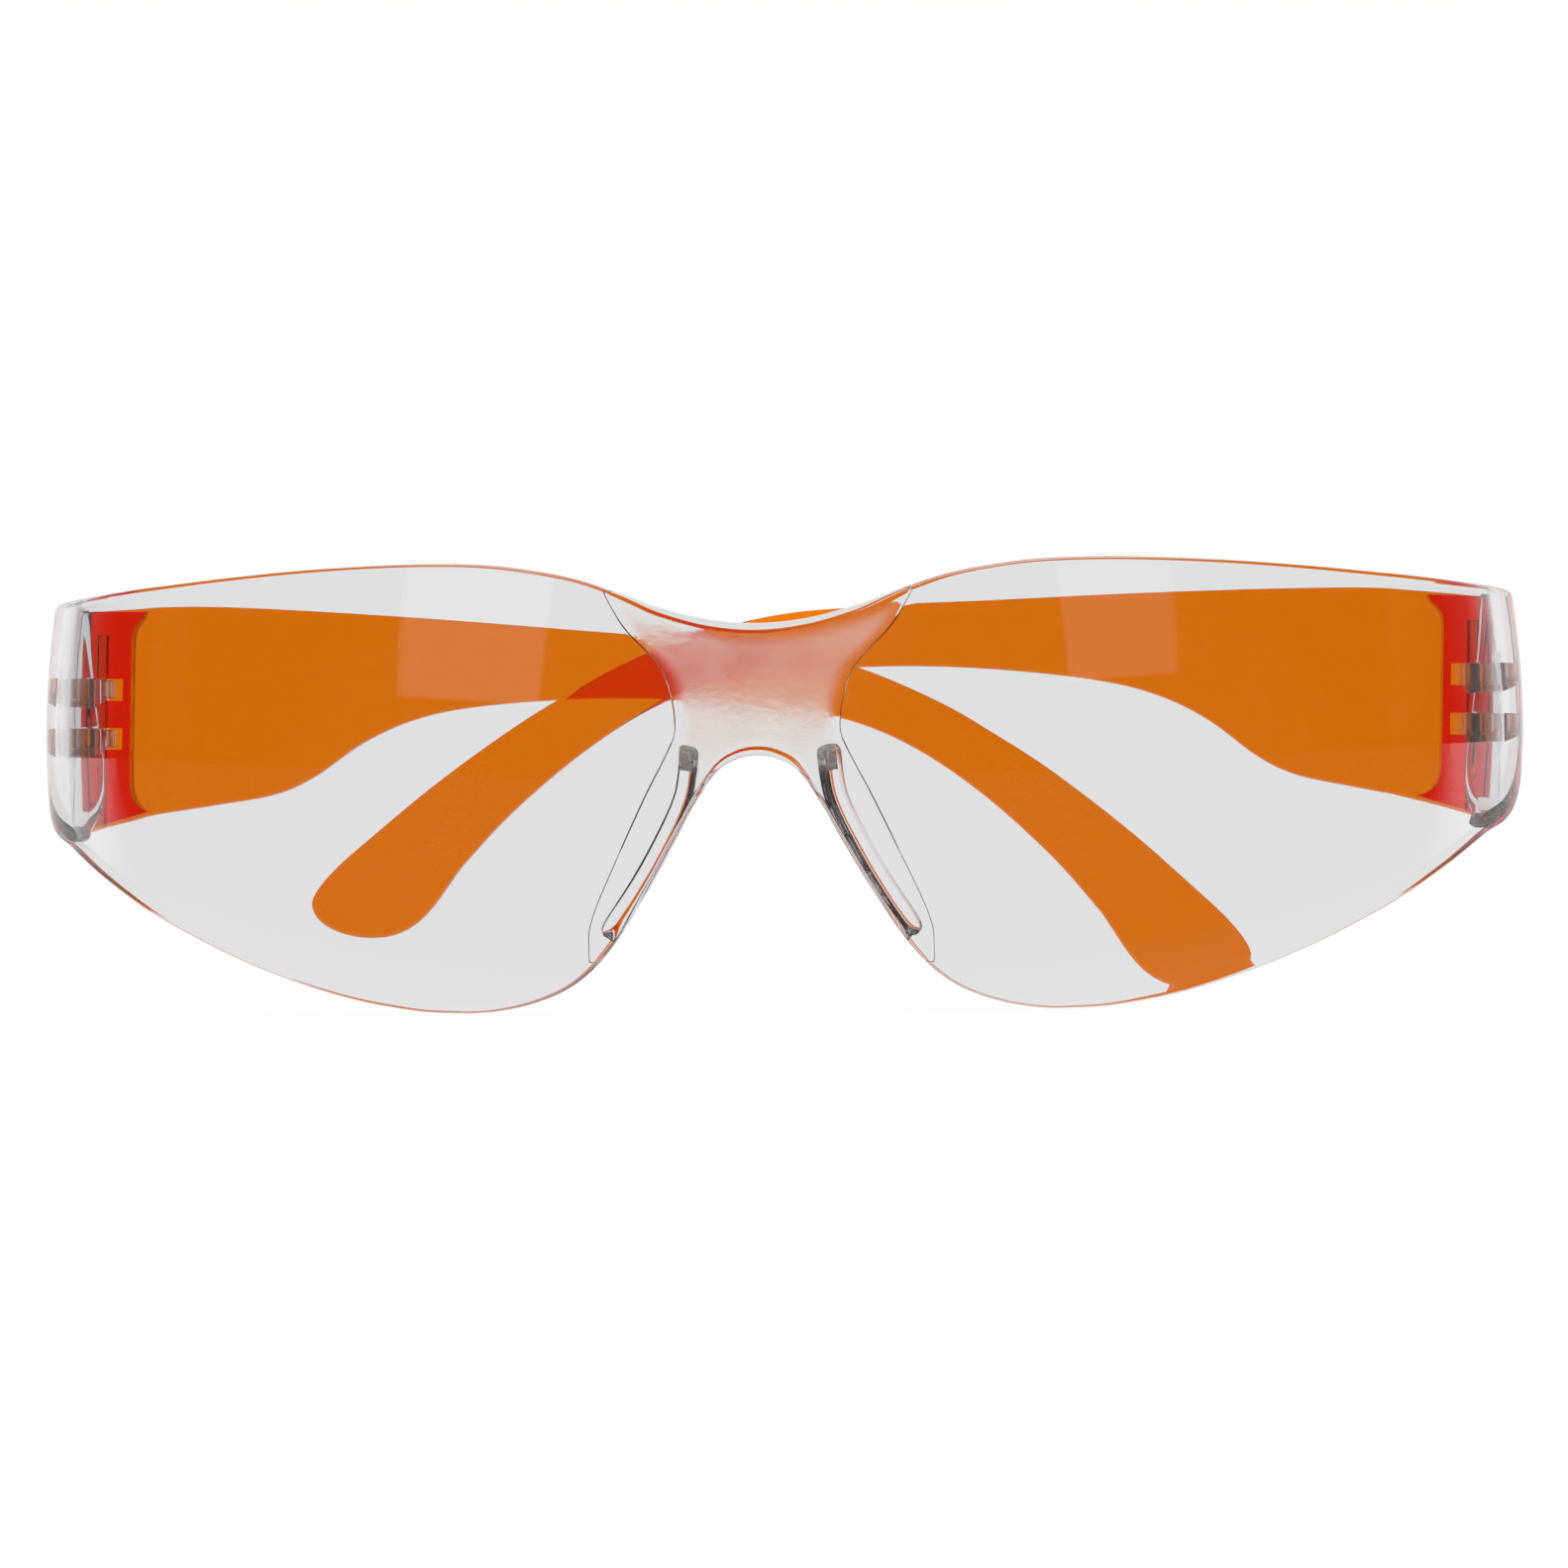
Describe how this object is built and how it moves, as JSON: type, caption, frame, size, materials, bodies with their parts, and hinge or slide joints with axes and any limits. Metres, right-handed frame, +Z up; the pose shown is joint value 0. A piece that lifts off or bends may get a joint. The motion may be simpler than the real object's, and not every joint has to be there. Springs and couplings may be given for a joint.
{
  "type": "safety glasses",
  "caption": "Wrap-around safety glasses: one-piece clear plastic lens with moulded nose bridge and nose flanges, transparent orange temples on pinned hinges, folded shut.",
  "frame": {"origin": "middle of the footprint at the lowest point, where the two lobes of the lens stand on the surface", "axes": "+Z up, +X across the face towards the wearer's left as seen on the picture's right, +Y from the lens back towards the wearer; the lens faces -Y"},
  "size_m": [0.1492, 0.048, 0.0441],
  "materials": {
    "clear_plastic": "clear polished polycarbonate",
    "orange_plastic": "transparent orange, smooth with a faint moulded texture",
    "pin_plastic": "clear moulded pin"
  },
  "bodies": {
    "lens": {"lens": "clear_plastic"},
    "temple_left": {"temple_left": "orange_plastic", "hinge_pin_left": "pin_plastic"},
    "temple_right": {"temple_right": "orange_plastic", "hinge_pin_right": "pin_plastic"}
  },
  "joints": [
    {"name": "left_hinge", "type": "hinge", "parent": "lens", "child": "temple_left", "pos_m": [-0.06975, 0.01717, 0.0293], "axis": [0.0262, 0, 0.9997], "range_deg": [0, 88.85]},
    {"name": "right_hinge", "type": "hinge", "parent": "lens", "child": "temple_right", "pos_m": [0.06975, 0.01717, 0.0293], "axis": [-0.0262, 0, -0.9997], "range_deg": [0, 91.15]}
  ]
}
